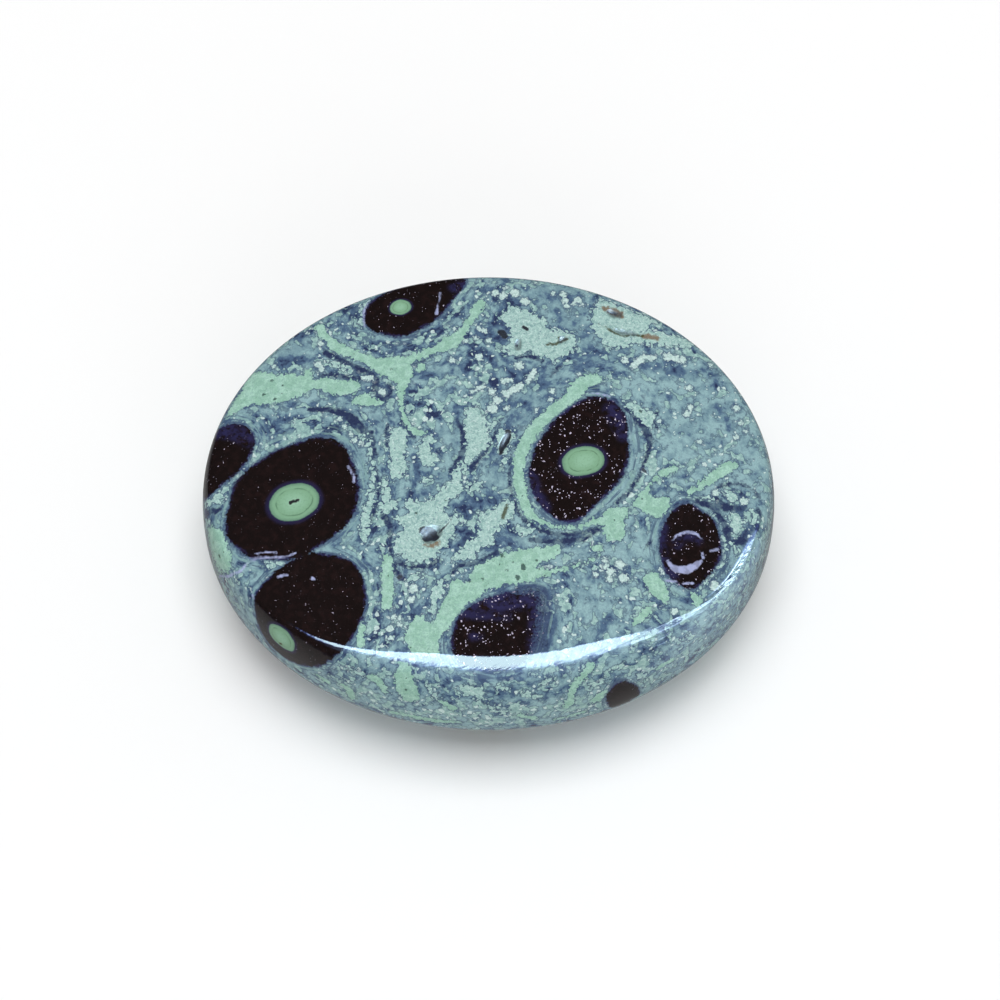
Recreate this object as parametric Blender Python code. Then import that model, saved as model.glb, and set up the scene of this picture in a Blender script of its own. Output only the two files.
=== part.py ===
"""Kambaba jasper: one hand-polished oval palm stone, lying face up on its small flat spot.

Metres, +Z up. The origin is at the middle of the flat spot, and the long axis runs along X.
The stone is one solid, lofted from upright profiles that turn about its middle. Each profile
runs over the domed face, round the shoulder, down the flank to the girdle, which is the widest
level, and then under the stone to the flat spot. Small solution pits are cut into the face.
"""

import math

import bmesh
import bpy
from mathutils import Matrix

MM = 0.001

# Driving dimensions
HALF_LENGTH = 30.0 * MM
HALF_WIDTH = 24.5 * MM
HEIGHT = 20.0 * MM
GIRDLE_HEIGHT = 10.0 * MM
DOME_DROP = 2.8 * MM  # how far the face has fallen at HALF_LENGTH from its middle

# Shoulder edge: how far it lies inside the girdle, at the ends and back and, further, in front
END_INSET = 1.5 * MM
FRONT_INSET = 4.3 * MM
FRONT_MIDDLE = math.radians(277.0)
FRONT_FULL = math.radians(18.0)  # this far each side of FRONT_MIDDLE the inset stays at its most
FRONT_GONE = math.radians(60.0)  # and from here on it is the ends' inset
FLANK_START_SLOPE = math.tan(math.radians(28.0))

# Rounding of the shoulder edge, measured across it
ROUNDING_FRONT = 0.45 * MM
ROUNDING_BACK = 1.2 * MM

# Underside
FOOT_HALF_LENGTH = 10.0 * MM
FOOT_HALF_WIDTH = 8.0 * MM
FOOT_SLOPE = math.tan(math.radians(10.0))
BELLY_FULLNESS = 0.62  # share of the girdle's height over which the belly starts straight down
BELLY_REACH = 0.62  # share of the way from foot to girdle that the foot's slope is aimed along

# Pits in the face: middle (x, y), length, width and depth in millimetres, turn in degrees
PITS = (
    ((-5.8, -7.4), 2.4, 1.9, 0.50, 30.0),
    ((1.7, 2.9), 2.4, 0.9, 0.40, 65.0),
    ((3.1, 14.6), 1.5, 0.8, 0.30, 80.0),
    ((7.8, 15.3), 1.3, 0.7, 0.25, 40.0),
    ((13.3, 18.8), 1.9, 1.0, 0.35, -20.0),
    ((14.4, 16.5), 3.4, 0.7, 0.30, -10.0),
)
PIT_BALL_SHARE = 2.0  # half height of the ball that cuts a pit, in pit depths

# Mesh density
SEGMENTS = 112
FACE_STEPS = 7
ROUNDING_STEPS = 3
FLANK_STEPS = 6
BELLY_STEPS = 8
SHARP_FROM = math.radians(30.0)

# Stand-in finish: the middle of the stone's greens, polished
JASPER_GREEN = (0.16, 0.24, 0.22, 1.0)
POLISH_ROUGHNESS = 0.12


def smoothstep(value):
    """0 up to 0, 1 from 1 on, and a soft step between."""
    value = min(max(value, 0.0), 1.0)
    return value * value * (3.0 - 2.0 * value)


def ellipse_radius(angle, half_length, half_width):
    """Distance from the middle of an ellipse to its edge, in the direction of angle."""
    return 1.0 / math.hypot(math.cos(angle) / half_length, math.sin(angle) / half_width)


def shoulder_inset(angle):
    """How far inside the girdle the face ends, in the direction of angle."""
    turned = abs(math.remainder(angle - FRONT_MIDDLE, math.tau))
    share = 1.0 - smoothstep((turned - FRONT_FULL) / (FRONT_GONE - FRONT_FULL))
    return END_INSET + (FRONT_INSET - END_INSET) * share


def face_height(radius):
    """Height of the domed face at a distance from its middle."""
    return HEIGHT - DOME_DROP * (radius / HALF_LENGTH) ** 2


def bezier(points, share):
    """Point at share, from 0 to 1, of a Bezier curve through two or more control points."""
    while len(points) > 1:
        points = [
            tuple(a + (b - a) * share for a, b in zip(first, second))
            for first, second in zip(points, points[1:])
        ]
    return points[0]


def tangent_corner(start, start_slope, end, end_slope):
    """Where two tangents of an upright profile meet, each given by a point and a slope."""
    rise = end[1] - start[1] + start_slope * start[0] - end_slope * end[0]
    radius = rise / (start_slope - end_slope)
    return radius, start[1] + start_slope * (radius - start[0])


def profile(angle):
    """Upright profile at one angle: (radius, height) from the first ring of the face to the foot."""
    girdle = ellipse_radius(angle, HALF_LENGTH, HALF_WIDTH)
    foot = ellipse_radius(angle, FOOT_HALF_LENGTH, FOOT_HALF_WIDTH)
    inset = shoulder_inset(angle)
    edge = girdle - inset
    backness = 0.5 + 0.5 * math.sin(angle)
    rounding = ROUNDING_FRONT + (ROUNDING_BACK - ROUNDING_FRONT) * backness

    # The flank sets off at FLANK_START_SLOPE from the sharp edge and is upright at the girdle
    flank = [
        (edge, face_height(edge)),
        (girdle, face_height(edge) - inset * FLANK_START_SLOPE),
        (girdle, GIRDLE_HEIGHT),
    ]

    # The rounding replaces the sharp edge, and meets the face and the flank along their tangents
    face_end = (edge - rounding, face_height(edge - rounding))
    face_slope = -2.0 * DOME_DROP * face_end[0] / HALF_LENGTH**2
    flank_from = rounding / (2.0 * math.dist(flank[0], flank[1]))
    flank_start = bezier(flank, flank_from)
    outward = (1.0 - flank_from) * inset
    downward = (1.0 - flank_from) * (flank[1][1] - flank[0][1]) + flank_from * (flank[2][1] - flank[1][1])
    corner = tangent_corner(face_end, face_slope, flank_start, downward / outward)

    reach = BELLY_REACH * (girdle - foot)
    belly = [
        (girdle, GIRDLE_HEIGHT),
        (girdle, GIRDLE_HEIGHT * (1.0 - BELLY_FULLNESS)),
        (foot + reach, reach * FOOT_SLOPE),
        (foot, 0.0),
    ]

    points = []
    for step in range(1, FACE_STEPS + 1):
        radius = face_end[0] * step / FACE_STEPS
        points.append((radius, face_height(radius)))
    for step in range(1, ROUNDING_STEPS + 1):
        points.append(bezier([face_end, corner, flank_start], step / ROUNDING_STEPS))
    for step in range(1, FLANK_STEPS + 1):
        share = flank_from + (1.0 - flank_from) * step / FLANK_STEPS
        points.append(bezier(flank, share))
    for step in range(1, BELLY_STEPS + 1):
        points.append(bezier(belly, step / BELLY_STEPS))
    return points


def lofted_stone():
    """Closed mesh through the profiles, with a point in the middle of the face and a flat foot."""
    shape = bmesh.new()
    rings = []
    for segment in range(SEGMENTS):
        angle = math.tau * segment / SEGMENTS
        turn = (math.cos(angle), math.sin(angle))
        rings.append([shape.verts.new((r * turn[0], r * turn[1], z)) for r, z in profile(angle)])

    top = shape.verts.new((0.0, 0.0, HEIGHT))
    for here, following in zip(rings, rings[1:] + rings[:1]):
        shape.faces.new((top, here[0], following[0]))
        for level in range(len(here) - 1):
            shape.faces.new((here[level], here[level + 1], following[level + 1], following[level]))
    shape.faces.new([ring[-1] for ring in reversed(rings)])

    mesh = bpy.data.meshes.new("stone")
    shape.to_mesh(mesh)
    shape.free()
    return mesh


def pit_balls():
    """One mesh of squashed balls, each sunk into the face by the depth of its pit."""
    shape = bmesh.new()
    for (x, y), length, width, depth, turn in PITS:
        half_height = PIT_BALL_SHARE * depth
        lift = half_height - depth
        # The ball is this much narrower at the face than at its middle
        share = math.sqrt(1.0 - (lift / half_height) ** 2)
        size = (0.5 * length / share * MM, 0.5 * width / share * MM, half_height * MM, 1.0)
        middle = (x * MM, y * MM, face_height(math.hypot(x, y) * MM) + lift * MM)
        place = Matrix.Translation(middle) @ Matrix.Rotation(math.radians(turn), 4, "Z")
        bmesh.ops.create_icosphere(
            shape, subdivisions=2, radius=1.0, matrix=place @ Matrix.Diagonal(size)
        )
    mesh = bpy.data.meshes.new("pit_balls")
    shape.to_mesh(mesh)
    shape.free()
    return mesh


def polished_jasper():
    """Material of the stone."""
    material = bpy.data.materials.new("kambaba_jasper")
    material.use_nodes = True
    shader = material.node_tree.nodes["Principled BSDF"]
    shader.inputs["Base Color"].default_value = JASPER_GREEN
    shader.inputs["Roughness"].default_value = POLISH_ROUGHNESS
    shader.inputs["Metallic"].default_value = 0.0
    return material


def add_object(name, mesh):
    """Put a mesh in the scene as a named object."""
    piece = bpy.data.objects.new(name, mesh)
    bpy.context.scene.collection.objects.link(piece)
    return piece


def build():
    """Model the stone and cut its pits."""
    for old in list(bpy.data.objects):
        bpy.data.objects.remove(old, do_unlink=True)

    cutter = add_object("pit_balls", pit_balls())
    cutter.hide_render = True
    cutter.display_type = "WIRE"

    mesh = lofted_stone()
    mesh.materials.append(polished_jasper())
    mesh.shade_smooth()
    mesh.set_sharp_from_angle(angle=SHARP_FROM)
    stone = add_object("stone", mesh)

    pits = stone.modifiers.new("pits", "BOOLEAN")
    pits.operation = "DIFFERENCE"
    pits.solver = "EXACT"
    pits.object = cutter


build()
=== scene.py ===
"""Kambaba jasper palm stone: the looks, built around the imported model.

Lengths are in millimetres here, and become Blender's metres where a mesh, light or camera is made.
The pattern is solid, as it is in rock. Each vertex of the stone is told how far it lies from the
orbs, bands, patches and lines, and the material turns those distances into colours.
"""

import math

import bpy
import numpy as np
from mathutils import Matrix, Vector, noise
from mathutils.bvhtree import BVHTree


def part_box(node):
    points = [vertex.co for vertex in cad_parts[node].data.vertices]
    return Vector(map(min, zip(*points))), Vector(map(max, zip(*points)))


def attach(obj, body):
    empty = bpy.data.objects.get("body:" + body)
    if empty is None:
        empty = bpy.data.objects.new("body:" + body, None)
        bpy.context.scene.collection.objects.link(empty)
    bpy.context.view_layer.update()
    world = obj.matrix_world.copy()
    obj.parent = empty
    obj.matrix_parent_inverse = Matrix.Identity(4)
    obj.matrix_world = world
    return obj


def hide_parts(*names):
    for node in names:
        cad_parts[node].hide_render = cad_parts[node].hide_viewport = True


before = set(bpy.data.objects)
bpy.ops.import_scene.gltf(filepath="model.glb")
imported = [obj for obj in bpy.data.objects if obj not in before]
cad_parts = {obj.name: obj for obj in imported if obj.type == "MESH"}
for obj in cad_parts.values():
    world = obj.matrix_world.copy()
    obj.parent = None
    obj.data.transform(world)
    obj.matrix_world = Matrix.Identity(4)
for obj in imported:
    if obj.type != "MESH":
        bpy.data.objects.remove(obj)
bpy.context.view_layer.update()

MM = 0.001

# Size of the stone, from the frame
LOW, HIGH = (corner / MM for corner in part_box("stone"))
HALF_LENGTH = 0.5 * (HIGH.x - LOW.x)
HALF_WIDTH = 0.5 * (HIGH.y - LOW.y)
HEIGHT = HIGH.z

# Shape of the stone
GIRDLE_HEIGHT = 0.5 * HEIGHT
DOME_DROP = 0.14 * HEIGHT  # how far the face has fallen at HALF_LENGTH from its middle
END_INSET = 0.05 * HALF_LENGTH  # how far inside the girdle the face ends, at the ends and back
FRONT_INSET = 0.1433 * HALF_LENGTH  # and in front
FRONT_MIDDLE = math.radians(277.0)
FRONT_FULL = math.radians(18.0)  # this far each side of FRONT_MIDDLE the inset stays at its most
FRONT_GONE = math.radians(60.0)  # and from here on it is the ends' inset
FLANK_START_SLOPE = math.tan(math.radians(28.0))
ROUNDING_FRONT = 0.015 * HALF_LENGTH
ROUNDING_BACK = 0.04 * HALF_LENGTH
FOOT_HALF_LENGTH = HALF_LENGTH / 3.0
FOOT_HALF_WIDTH = 0.327 * HALF_WIDTH
FOOT_SLOPE = math.tan(math.radians(10.0))
BELLY_FULLNESS = 0.62  # share of the girdle's height over which the belly starts straight down
BELLY_REACH = 0.62  # share of the way from foot to girdle that the foot's slope is aimed along

# Pits in the face: middle (x, y), length, width and depth, turn in degrees
PITS = (
    ((-5.8, -7.4), 2.4, 1.9, 0.50, 30.0),
    ((1.7, 2.9), 2.4, 0.9, 0.40, 65.0),
    ((3.1, 14.6), 1.5, 0.8, 0.30, 80.0),
    ((7.8, 15.3), 1.3, 0.7, 0.25, 40.0),
    ((13.3, 18.8), 1.9, 1.0, 0.35, -20.0),
    ((14.4, 16.5), 3.4, 0.7, 0.30, -10.0),
)
PIT_BALL_SHARE = 2.0  # half height of the ball that a pit is part of, in pit depths

# Rings of the mesh, from the middle of the face outwards and then down
FACE_RINGS = 92
ROUNDING_RINGS = 8
FLANK_RINGS = 26
SEAM_RINGS = 10
TOP_RINGS = FACE_RINGS + ROUNDING_RINGS + FLANK_RINGS + SEAM_RINGS
UNDER_RINGS = TOP_RINGS // 2
FOOT_RINGS = 18
SEAM_SHARE = 0.22  # how far down the belly the top's rings reach

# Texture map: the top above, the underside below it
TOP_MAP_HEIGHT = 0.64
UNDER_MAP_SIZE = (1.0, 0.33)
UNDER_MAP_MIDDLE = (0.5, 0.17)

# Camera
PIXELS = 1000
LENS = 120.0
SENSOR = 36.0
CAMERA_ELEVATION = math.radians(65.0)
CAMERA_DISTANCE = 352.1
CAMERA_AIM = Vector((1.2, 0.96, 10.0))
PIXELS_PER_MM = 9.57  # at the stone

FAR = 6.0  # a distance that means nothing is near
TINY = 1e-9  # stands in for a length of nothing


def srgb(red, green, blue):
    """Linear colour of an sRGB colour given in 0 to 255."""
    share = np.array([red, green, blue]) / 255.0
    linear = np.where(share <= 0.04045, share / 12.92, ((share + 0.055) / 1.055) ** 2.4)
    return (*linear.tolist(), 1.0)


def smoothstep(value):
    """0 up to 0, 1 from 1 on, and a soft step between."""
    value = np.clip(value, 0.0, 1.0)
    return value * value * (3.0 - 2.0 * value)


def turn_between(angle, middle):
    """How far angles lie from a middle one, the short way round."""
    return np.abs((angle - middle + math.pi) % math.tau - math.pi)


def turned(x, y, degrees):
    """Places measured along and athwart a direction that many degrees from the x axis."""
    turn = math.radians(degrees)
    return x * math.cos(turn) + y * math.sin(turn), y * math.cos(turn) - x * math.sin(turn)


def direction(azimuth, elevation):
    """Unit vector from an azimuth, where 0 is +X and 90 is +Y, and an elevation, in degrees."""
    turn, rise = math.radians(azimuth), math.radians(elevation)
    return Vector((math.cos(turn) * math.cos(rise), math.sin(turn) * math.cos(rise), math.sin(rise)))


# Shape of the stone


def ellipse_radius(angle, half_length, half_width):
    """Distance from the middle of an ellipse to its edge, in the direction of angle."""
    return 1.0 / np.hypot(np.cos(angle) / half_length, np.sin(angle) / half_width)


def shoulder_inset(angle):
    """How far inside the girdle the face ends, in the direction of angle."""
    beyond = (turn_between(angle, FRONT_MIDDLE) - FRONT_FULL) / (FRONT_GONE - FRONT_FULL)
    return END_INSET + (FRONT_INSET - END_INSET) * (1.0 - smoothstep(beyond))


def face_height(radius):
    """Height of the domed face at a distance from its middle."""
    return HEIGHT - DOME_DROP * (radius / HALF_LENGTH) ** 2


def pit_drop(x, y):
    """How far the pits lower the face at each place."""
    drop = np.zeros(len(x))
    rim = 1.0 - (1.0 - 1.0 / PIT_BALL_SHARE) ** 2
    for (middle_x, middle_y), length, width, depth, turn in PITS:
        along, athwart = turned(x - middle_x, y - middle_y, turn)
        share = (2.0 * along / length) ** 2 + (2.0 * athwart / width) ** 2
        ball = PIT_BALL_SHARE * depth * np.sqrt(np.maximum(1.0 - rim * share, 0.0))
        drop = np.maximum(drop, ball - (PIT_BALL_SHARE - 1.0) * depth)
    return drop


def bezier(points, share):
    """Point at share, from 0 to 1, of a Bezier curve through its control points."""
    while len(points) > 1:
        points = [
            tuple(a + (b - a) * share for a, b in zip(first, second))
            for first, second in zip(points, points[1:])
        ]
    return points[0]


def tangent_corner(start, start_slope, end, end_slope):
    """Where two tangents of an upright profile meet, each given by a point and a slope."""
    rise = end[1] - start[1] + start_slope * start[0] - end_slope * end[0]
    radius = rise / (start_slope - end_slope)
    return radius, start[1] + start_slope * (radius - start[0])


def profile(angle):
    """Curves of the upright profile at each angle, as (radius, height) control points."""
    girdle = ellipse_radius(angle, HALF_LENGTH, HALF_WIDTH)
    foot = ellipse_radius(angle, FOOT_HALF_LENGTH, FOOT_HALF_WIDTH)
    inset = shoulder_inset(angle)
    edge = girdle - inset
    rounding = ROUNDING_FRONT + (ROUNDING_BACK - ROUNDING_FRONT) * (0.5 + 0.5 * np.sin(angle))
    flank = [
        (edge, face_height(edge)),
        (girdle, face_height(edge) - inset * FLANK_START_SLOPE),
        (girdle, GIRDLE_HEIGHT),
    ]

    # The rounding meets the face and the flank along their tangents
    face_end = (edge - rounding, face_height(edge - rounding))
    face_slope = -2.0 * DOME_DROP * face_end[0] / HALF_LENGTH**2
    flank_from = rounding / (2.0 * np.hypot(inset, inset * FLANK_START_SLOPE))
    flank_start = bezier(flank, flank_from)
    outward = (1.0 - flank_from) * inset
    downward = (1.0 - flank_from) * (flank[1][1] - flank[0][1]) + flank_from * (flank[2][1] - flank[1][1])
    corner = tangent_corner(face_end, face_slope, flank_start, downward / outward)

    reach = BELLY_REACH * (girdle - foot)
    belly = [
        (girdle, GIRDLE_HEIGHT),
        (girdle, GIRDLE_HEIGHT * (1.0 - BELLY_FULLNESS)),
        (foot + reach, reach * FOOT_SLOPE),
        (foot, 0.0 * foot),
    ]
    return face_end, [face_end, corner, flank_start], flank, flank_from, belly


def top_ring(number, angle):
    """(radius, height) of the points of one ring of the top, counted from the middle."""
    face_end, shoulder, flank, flank_from, belly = profile(angle)
    if number <= FACE_RINGS:
        radius = face_end[0] * number / FACE_RINGS
        return radius, face_height(radius)
    number -= FACE_RINGS
    if number <= ROUNDING_RINGS:
        return bezier(shoulder, number / ROUNDING_RINGS)
    number -= ROUNDING_RINGS
    if number <= FLANK_RINGS:
        return bezier(flank, flank_from + (1.0 - flank_from) * number / FLANK_RINGS)
    number -= FLANK_RINGS
    return bezier(belly, SEAM_SHARE * number / SEAM_RINGS)


def under_ring(number, angle):
    """(radius, height) of the points of one ring of the underside, counted from the middle."""
    belly = profile(angle)[-1]
    if number <= FOOT_RINGS:
        return belly[-1][0] * number / FOOT_RINGS, belly[-1][1]
    share = (number - FOOT_RINGS) / (UNDER_RINGS + 1 - FOOT_RINGS)
    return bezier(belly, 1.0 - share * (1.0 - SEAM_SHARE))


def ring_angles(number):
    """Angles of the eight points per step of a ring, starting at a corner of its square."""
    return math.tau * np.arange(8 * number) / (8 * number) - 0.25 * math.pi


def ring_cells(number):
    """Where the points of a ring lie on a square grid whose middle is (0, 0)."""
    side, along = np.divmod(np.arange(8 * number), 2 * number)
    steps = along - number
    edge = np.full(8 * number, number)
    return np.choose(side, [edge, -steps, -edge, steps]), np.choose(side, [steps, edge, -steps, -edge])


def cap(rings, ring_points, middle_height):
    """Points of one half of the stone, their place on a square grid, and the grid of their numbers."""
    points = [np.array([[0.0, 0.0, middle_height]])]
    cells = [np.array([[0, 0]])]
    for number in range(1, rings + 1):
        angle = ring_angles(number)
        radius, height = ring_points(number, angle)
        points.append(np.stack([radius * np.cos(angle), radius * np.sin(angle), height], axis=1))
        cells.append(np.stack(ring_cells(number), axis=1))
    points, cells = np.concatenate(points), np.concatenate(cells)
    grid = np.zeros((2 * rings + 1, 2 * rings + 1), int)
    grid[cells[:, 0] + rings, cells[:, 1] + rings] = np.arange(len(points))
    return points, cells / (2.0 * rings) + 0.5, grid


def grid_triangles(grid):
    """Two triangles for each cell of the grid, cut so that the squares' corners stay open."""
    a, b, c, d = grid[:-1, :-1], grid[1:, :-1], grid[1:, 1:], grid[:-1, 1:]
    half = len(grid) // 2
    column, row = np.meshgrid(np.arange(len(grid) - 1), np.arange(len(grid) - 1), indexing="ij")
    rising = ((column < half) == (row < half))[..., None]
    first = np.where(rising, np.stack([a, b, c], -1), np.stack([a, b, d], -1))
    second = np.where(rising, np.stack([a, c, d], -1), np.stack([b, c, d], -1))
    return np.concatenate([first.reshape(-1, 3), second.reshape(-1, 3)])


def stone_mesh():
    """Points in millimetres, triangles, and each triangle corner's place on the texture map."""
    top, top_cells, top_grid = cap(TOP_RINGS, top_ring, HEIGHT)
    top[:, 2] -= pit_drop(top[:, 0], top[:, 1])
    under, under_cells, under_grid = cap(UNDER_RINGS, under_ring, 0.0)
    top_triangles = grid_triangles(top_grid)
    under_triangles = grid_triangles(under_grid)[:, ::-1] + len(top)

    # The last ring under the stone has half as many points as the ring above it
    count = 8 * UNDER_RINGS
    here = np.arange(count)
    inner = len(top) + len(under) - count
    outer = len(top) - 2 * count
    following = (here + 1) % count
    seam = np.concatenate(
        [
            np.stack([inner + here, outer + 2 * here + 1, outer + 2 * here], axis=1),
            np.stack([inner + here, inner + following, outer + 2 * here + 1], axis=1),
            np.stack([inner + following, outer + 2 * following, outer + 2 * here + 1], axis=1),
        ]
    )

    # On the map the seam joins the underside, so the top's last ring has a second place round it
    top_map = top_cells * (1.0, TOP_MAP_HEIGHT) + (0.0, 1.0 - TOP_MAP_HEIGHT)
    under_map = (under_cells - 0.5) * UNDER_MAP_SIZE * UNDER_RINGS / (UNDER_RINGS + 2) + UNDER_MAP_MIDDLE
    rim_map = (top_cells[outer:] - 0.5) * UNDER_MAP_SIZE + UNDER_MAP_MIDDLE
    maps = np.concatenate([top_map, under_map])
    seam_places = np.where(seam < len(top), seam - outer + len(maps), seam)
    seam_corners = np.concatenate([maps, rim_map])[seam_places]
    corners = np.concatenate([maps[top_triangles], maps[under_triangles], seam_corners])
    triangles = np.concatenate([top_triangles, under_triangles, seam])
    return np.concatenate([top, under]), triangles, corners


points, triangles, map_corners = stone_mesh()

# Camera, and where its pixels fall on the stone

LOOK_BACK = Vector((0.0, -math.cos(CAMERA_ELEVATION), math.sin(CAMERA_ELEVATION)))
LOOK_UP = Vector((0.0, math.sin(CAMERA_ELEVATION), math.cos(CAMERA_ELEVATION)))
EYE_POINT = CAMERA_AIM + CAMERA_DISTANCE * LOOK_BACK
surface = BVHTree.FromPolygons(points.tolist(), triangles.tolist())


def pixel_ray(x, y):
    """Direction in which the camera sees a pixel of its square picture."""
    reach = PIXELS * LENS / SENSOR
    half = 0.5 * PIXELS
    return Vector(((x - half) / reach, 0.0, 0.0)) + LOOK_UP * ((half - y) / reach) - LOOK_BACK


def seen_on_stone(x, y):
    """Point of the stone that a pixel shows and its normal, or None twice where the pixel misses it."""
    return surface.ray_cast(EYE_POINT, pixel_ray(x, y).normalized())[:2]


def on_plane(x, y, origin, normal):
    """Point of a plane that a pixel shows."""
    ray = pixel_ray(x, y)
    return EYE_POINT + ray * ((origin - EYE_POINT).dot(normal) / ray.dot(normal))


# Marks of the rock that the photograph shows. Places are pixels of its 1000 by 1000 frame


# Each orb: its core (x, y, half length, half width, tilt in degrees), how full of specks it is, and
# the outline of its dark body
ORBS = {
    "west": {
        "core": (294, 502, 24.5, 19.5, 18),
        "specks": 0.25,
        "body": (
            (359, 487), (355, 469), (348, 453), (338, 441), (318, 436), (298, 442), (275, 450), (254, 464),
            (237, 480), (232, 491), (229, 505), (225, 530), (236, 547), (250, 557), (275, 559), (300, 558),
            (319, 546), (338, 533), (351, 518), (358, 503),
        ),
    },
    "centre": {
        "core": (583.5, 461, 20.7, 15.8, 15),
        "specks": 0.95,
        "body": (
            (629, 452), (628, 435), (626, 418), (621, 407), (612, 399), (599, 395), (586, 397), (574, 403),
            (564, 411), (551, 424), (539, 440), (532, 457), (528, 473), (531, 489), (539, 503), (549, 514),
            (560, 521), (574, 521), (586, 515), (599, 503), (610, 492), (620, 479), (626, 467),
        ),
    },
    "top": {
        "core": (400.5, 307, 11.5, 8.6, 10),
        "specks": 0.45,
        "body": (
            (466, 281), (452, 300), (440, 316), (424, 327), (408, 334), (395, 337), (380, 334), (368, 328),
            (363, 319), (366, 307), (375, 297), (388, 288), (405, 278), (430, 266), (455, 262),
        ),
    },
    "southwest": {
        "core": (281, 638, 17, 17, 0),
        "specks": 0.35,
        "body": (
            (343, 627), (341, 605), (332, 583), (318, 573), (303, 569), (280, 570), (257, 575), (248, 590),
            (252, 610), (258, 630), (268, 647), (283, 660), (302, 668), (320, 669), (334, 659), (341, 645),
        ),
    },
    "east": {
        "core": None,
        "specks": 0.7,
        "body": (
            (722, 548), (719, 532), (712, 518), (702, 510), (691, 504), (681, 504), (672, 512), (665, 523),
            (660, 540), (661, 558), (667, 573), (677, 584), (690, 589), (701, 583), (713, 571), (720, 560),
        ),
    },
    "south": {
        "core": None,
        "specks": 0.95,
        "body": (
            (540, 634), (543, 618), (545, 604), (541, 593), (530, 589), (516, 590), (500, 594), (484, 599),
            (469, 606), (458, 618), (452, 634), (453, 652), (463, 664), (490, 668), (518, 665), (534, 652),
        ),
    },
    "far_west": {
        "core": None,
        "specks": 0.4,
        "body": (
            (255, 440), (251, 455), (243, 466), (233, 476), (222, 485), (204, 497), (180, 490), (178, 460),
            (196, 432), (222, 425), (240, 424), (250, 430),
        ),
    },
    "flank": {
        "core": None,
        "specks": 0.2,
        "body": (
            (640, 694), (636, 686), (625, 683), (614, 688), (606, 697), (607, 706), (616, 709), (630, 703),
        ),
    },
}

# Smooth mint bands, as outlines of (x, y) and as lines of (x, y, full width)
MINT_OUTLINES = (
    ((190, 420), (235, 400), (243, 386), (254, 373), (265, 371), (278, 375), (292, 373), (303, 376),
     (306, 368), (312, 369), (315, 379), (324, 377), (336, 380), (343, 380), (359, 381), (361, 386),
     (351, 394), (334, 395), (315, 389), (304, 394), (288, 400), (269, 405), (253, 404), (239, 411),
     (225, 418), (190, 440)),
    ((310, 318), (322, 318), (327, 331), (334, 339), (347, 345), (358, 350), (368, 355), (384, 357),
     (404, 356), (413, 353), (427, 348), (436, 344), (444, 337), (455, 332), (466, 320), (473, 304),
     (485, 300), (482, 312), (474, 322), (466, 334), (462, 341), (455, 348), (438, 353), (424, 359),
     (411, 363), (413, 370), (411, 380), (400, 384), (389, 379), (378, 374), (366, 367), (357, 361),
     (340, 355), (328, 348), (325, 341), (317, 334)),
    ((560, 544), (547, 545), (525, 548), (511, 551), (496, 556), (485, 562), (475, 567), (470, 576),
     (465, 583), (455, 578), (449, 585), (445, 598), (438, 610), (432, 624), (424, 616), (415, 616),
     (409, 624), (404, 635), (407, 646), (415, 655), (438, 658), (438, 641), (442, 636), (450, 627),
     (458, 616), (467, 605), (481, 596), (489, 589), (507, 585), (525, 582), (542, 575), (556, 571),
     (545, 568), (535, 566), (548, 560), (558, 555)),
    ((590, 373), (600, 375), (604, 380), (592, 386), (583, 394), (578, 400), (565, 409), (554, 419),
     (544, 427), (536, 438), (530, 449), (525, 464), (524, 479), (527, 491), (531, 506), (538, 515),
     (549, 523), (563, 526), (576, 525), (590, 521), (600, 516), (603, 523), (593, 526), (575, 530),
     (558, 530), (543, 526), (532, 520), (524, 514), (518, 504), (513, 491), (512, 477), (512, 462),
     (515, 449), (520, 437), (530, 424), (540, 415), (551, 404), (563, 396), (567, 390), (572, 382),
     (582, 375)),
    ((605, 512), (612, 508), (630, 508), (625, 522), (624, 538), (606, 540), (603, 528), (598, 520)),
    ((677, 466), (668, 466), (658, 472), (651, 481), (642, 490), (632, 502), (635, 508), (646, 513),
     (658, 519), (670, 508), (669, 498), (662, 496), (652, 496), (650, 486), (658, 480), (677, 471)),
    ((643, 581), (647, 572), (657, 572), (665, 583), (669, 593), (667, 605), (658, 599), (650, 592)),
    ((639, 613), (652, 607), (651, 616), (639, 624), (632, 625)),
    ((207, 530), (223, 530), (229, 546), (231, 558), (229, 571), (219, 575), (213, 566), (208, 552)),
    ((354, 397), (366, 391), (371, 395), (384, 401), (381, 406), (364, 406), (353, 403)),
)
MINT_LINES = (
    ((404, 380, 14), (401, 394, 8), (402, 409, 6), (405, 418, 6.5), (411, 427, 7), (418, 432, 7),
     (425, 433, 5)),
    ((387, 560, 10), (387, 575, 12), (388, 592, 13), (387, 605, 11)),
    ((352, 602, 3), (358, 615, 7), (360, 630, 8), (360, 646, 8)),
    ((689, 493, 6), (706, 482, 9), (722, 470, 13), (733, 465, 10)),
    ((594, 547, 8), (600, 548, 7)),
    ((530, 579, 5), (542, 574, 6), (554, 571, 6), (570, 568, 5), (585, 562, 4), (598, 555, 3)),
    ((419, 369, 8), (422, 366, 8)),
    ((403, 668, 14), (404, 682, 20), (410, 696, 20)),
    ((590, 666, 9), (584, 674, 8), (575, 684, 9), (569, 696, 8), (568, 705, 12)),
    ((596, 700, 12), (603, 694, 12)),
    ((695, 597, 10), (698, 602, 10)),
    ((341, 684, 7), (349, 690, 11), (352, 698, 8)),
    ((371, 678, 9), (380, 683, 11), (384, 692, 6)),
    ((442, 702, 7), (453, 708, 8)),
    ((516, 714, 6), (534, 718, 8)),
    ((658, 668, 6), (672, 660, 8)),
    ((392, 712, 8), (430, 720, 9), (462, 722, 6)),
    ((556, 719, 6), (584, 712, 8)),
    ((318, 676, 6), (328, 682, 8)),
)

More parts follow.
